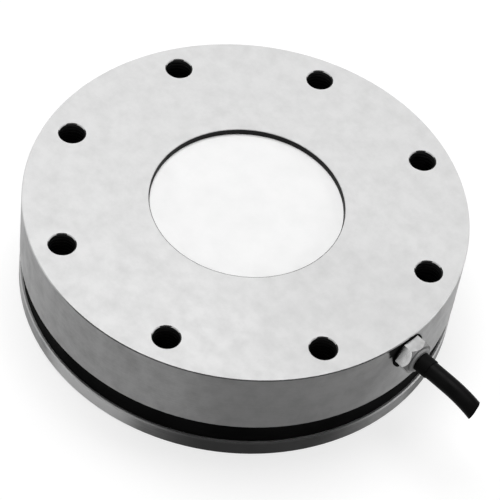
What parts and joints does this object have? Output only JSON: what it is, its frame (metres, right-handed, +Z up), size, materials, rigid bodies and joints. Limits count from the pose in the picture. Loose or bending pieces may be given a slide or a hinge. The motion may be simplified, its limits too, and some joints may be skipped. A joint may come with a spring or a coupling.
{
  "type": "pancake load cell",
  "caption": "Flat round load cell: thick steel ring with a circle of tapped holes and a recessed cover, on a sealed base plate, with a side gland and a short black cable.",
  "frame": {"origin": "centre of the underside of the base plate", "axes": "+Z up along the axis of the cell, +X towards the cable gland"},
  "size_m": [0.1803, 0.15, 0.04],
  "materials": {
    "ring_steel": "satin, fine turned",
    "base_steel": "satin, fine turned",
    "cover_steel": "pale satin",
    "gland_steel": "bright turned",
    "screw_steel": "dark plated",
    "small_steel": "bright",
    "brass": "turned",
    "tinned_braid": "fine braid",
    "seal_rubber": "matt black",
    "gasket_rubber": "matt dark grey",
    "boot_black": "matt black",
    "cable_black": "satin black",
    "core_red": "satin",
    "core_black": "satin",
    "core_green": "satin",
    "core_white": "satin",
    "gauge_film": "clear amber film on foil",
    "terminal_strip": "copper pads on a thin laminate",
    "fine_wire": "enamelled",
    "board_green": "lacquered laminate",
    "resistor_body": "lacquered"
  },
  "bodies": {
    "root": {"base_plate": "base_steel", "load_ring": "ring_steel", "dust_seal": "seal_rubber", "cover_disc": "cover_steel", "cover_gasket": "gasket_rubber", "gland_screw": "gland_steel", "gland_seal": "seal_rubber", "gland_bush": "gasket_rubber", "slip_washer": "brass", "cable_boot": "boot_black", "cable_jacket": "cable_black", "cable_screen": "tinned_braid", "red_core": "core_red", "black_core": "core_black", "green_core": "core_green", "white_core": "core_white", "inner_gauges": "gauge_film", "outer_gauges": "gauge_film", "gauge_terminals": "terminal_strip", "gauge_wires": "fine_wire", "bridge_board": "board_green", "board_spacers": "brass", "board_screws": "small_steel", "trim_resistors": "resistor_body", "base_screws": "screw_steel", "base_dowels": "small_steel"}
  },
  "joints": []
}
